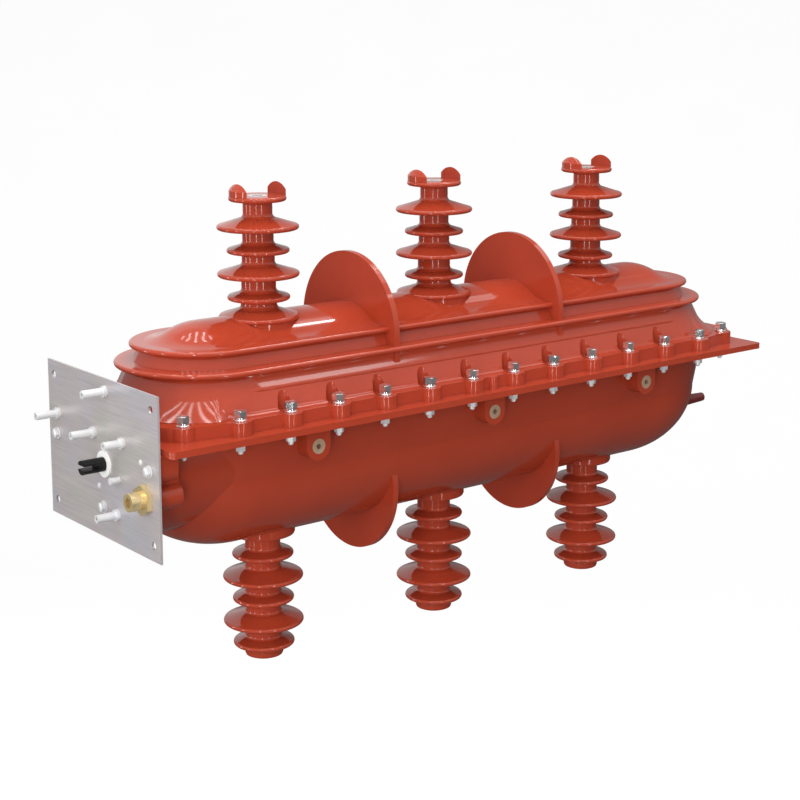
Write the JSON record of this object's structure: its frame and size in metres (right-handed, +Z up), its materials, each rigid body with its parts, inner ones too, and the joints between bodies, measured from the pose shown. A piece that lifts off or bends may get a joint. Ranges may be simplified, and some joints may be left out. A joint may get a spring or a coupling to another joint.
{
  "type": "gas insulated load break switch",
  "caption": "Sealed indoor load break switch: red cast epoxy housing with skirted top, ribbed bushings above and below, phase barriers and a drive panel with a slotted shaft.",
  "frame": {"origin": "middle of the flange plate's underside, the plane on which the switch is bolted into a cubicle", "axes": "+X along the row of phases, away from the drive panel; +Y to the back; +Z up along the bushings"},
  "size_m": [0.7725, 0.222, 0.4557],
  "materials": {
    "cast_epoxy": "glossy brick-red cast epoxy resin",
    "plated_copper": "silver-plated copper",
    "dull_brass": "dull cast-in brass",
    "galvanised": "zinc-coated steel sheet",
    "bright_zinc": "bright zinc plate",
    "white_nylon": "white nylon",
    "black_oxide": "black oxide steel",
    "yellow_brass": "turned yellow brass",
    "dark_red_plastic": "dark red moulded cap"
  },
  "bodies": {
    "housing": {"upper_housing": "cast_epoxy", "lower_housing": "cast_epoxy", "upper_bushing_left": "cast_epoxy", "upper_bushing_middle": "cast_epoxy", "upper_bushing_right": "cast_epoxy", "lower_bushing_left": "cast_epoxy", "lower_bushing_middle": "cast_epoxy", "lower_bushing_right": "cast_epoxy", "upper_terminal_left": "plated_copper", "upper_terminal_middle": "plated_copper", "upper_terminal_right": "plated_copper", "lower_terminal_left": "plated_copper", "lower_terminal_middle": "plated_copper", "lower_terminal_right": "plated_copper", "upper_barrier_left": "cast_epoxy", "upper_barrier_right": "cast_epoxy", "lower_barrier_left": "cast_epoxy", "lower_barrier_right": "cast_epoxy", "lug_insert_front_left": "dull_brass", "lug_insert_front_middle": "dull_brass", "lug_insert_front_right": "dull_brass", "lug_insert_back_left": "dull_brass", "lug_insert_back_middle": "dull_brass", "lug_insert_back_right": "dull_brass", "mechanism_panel": "galvanised", "standoff_top": "bright_zinc", "standoff_back": "bright_zinc", "standoff_middle": "bright_zinc", "standoff_front": "bright_zinc", "standoff_low": "bright_zinc", "shaft_bearing": "white_nylon", "gas_valve": "yellow_brass", "gas_valve_nut": "yellow_brass", "stop_stud": "bright_zinc", "port_cap": "dark_red_plastic"},
    "operating_shaft": {"operating_shaft": "black_oxide"}
  },
  "joints": [
    {"name": "shaft_turn", "type": "hinge", "parent": "housing", "child": "operating_shaft", "pos_m": [-0.376, -0.0044, -0.025], "axis": [1, 0, 0], "range_deg": [-45, 45]}
  ]
}
